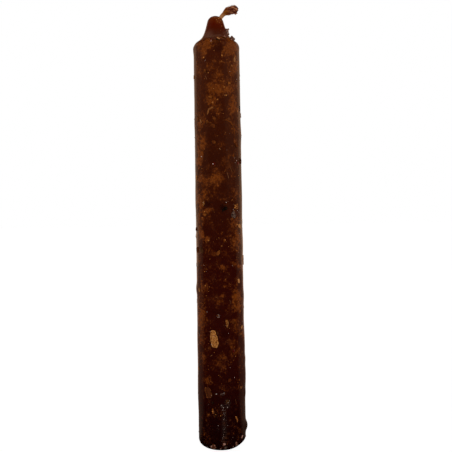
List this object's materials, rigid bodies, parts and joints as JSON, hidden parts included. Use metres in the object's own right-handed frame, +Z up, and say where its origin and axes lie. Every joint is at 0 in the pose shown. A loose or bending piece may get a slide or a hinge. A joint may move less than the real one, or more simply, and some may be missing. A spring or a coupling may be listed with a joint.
{
  "type": "ritual candle",
  "caption": "Slim moulded pillar candle with a drawn-in tip, a bent wick with a frayed waxed end, and herbs, husks and resin cast into dark brown wax.",
  "frame": {"origin": "centre of the candle's flat base", "axes": "+Z up the candle towards its tip; -Y is the side that the picture shows; the wick bends towards +X"},
  "size_m": [0.0223, 0.0226, 0.2049],
  "materials": {
    "wax": "dark maroon-brown wax with amber mottling, satin gloss",
    "wick": "waxed cotton plies, frayed at the end",
    "husk": "dry tan seed coat with a pale rim",
    "seed": "brown seed under a film of wax",
    "bark": "dry tan bark",
    "amber_herb": "amber herb soaked with wax",
    "leaf": "grey-green dry leaf",
    "stem": "dry fibrous stem",
    "resin": "glossy dark red resin",
    "dark_bark": "dark bark with a pale broken edge"
  },
  "bodies": {
    "root": {"wax_body": "wax", "wick": "wick", "seed_husks": "husk", "brown_seeds": "seed", "bark_chips": "bark", "amber_chips": "amber_herb", "leaf_flakes": "leaf", "dry_stems": "stem", "resin_beads": "resin", "shoulder_chip": "dark_bark"}
  },
  "joints": []
}
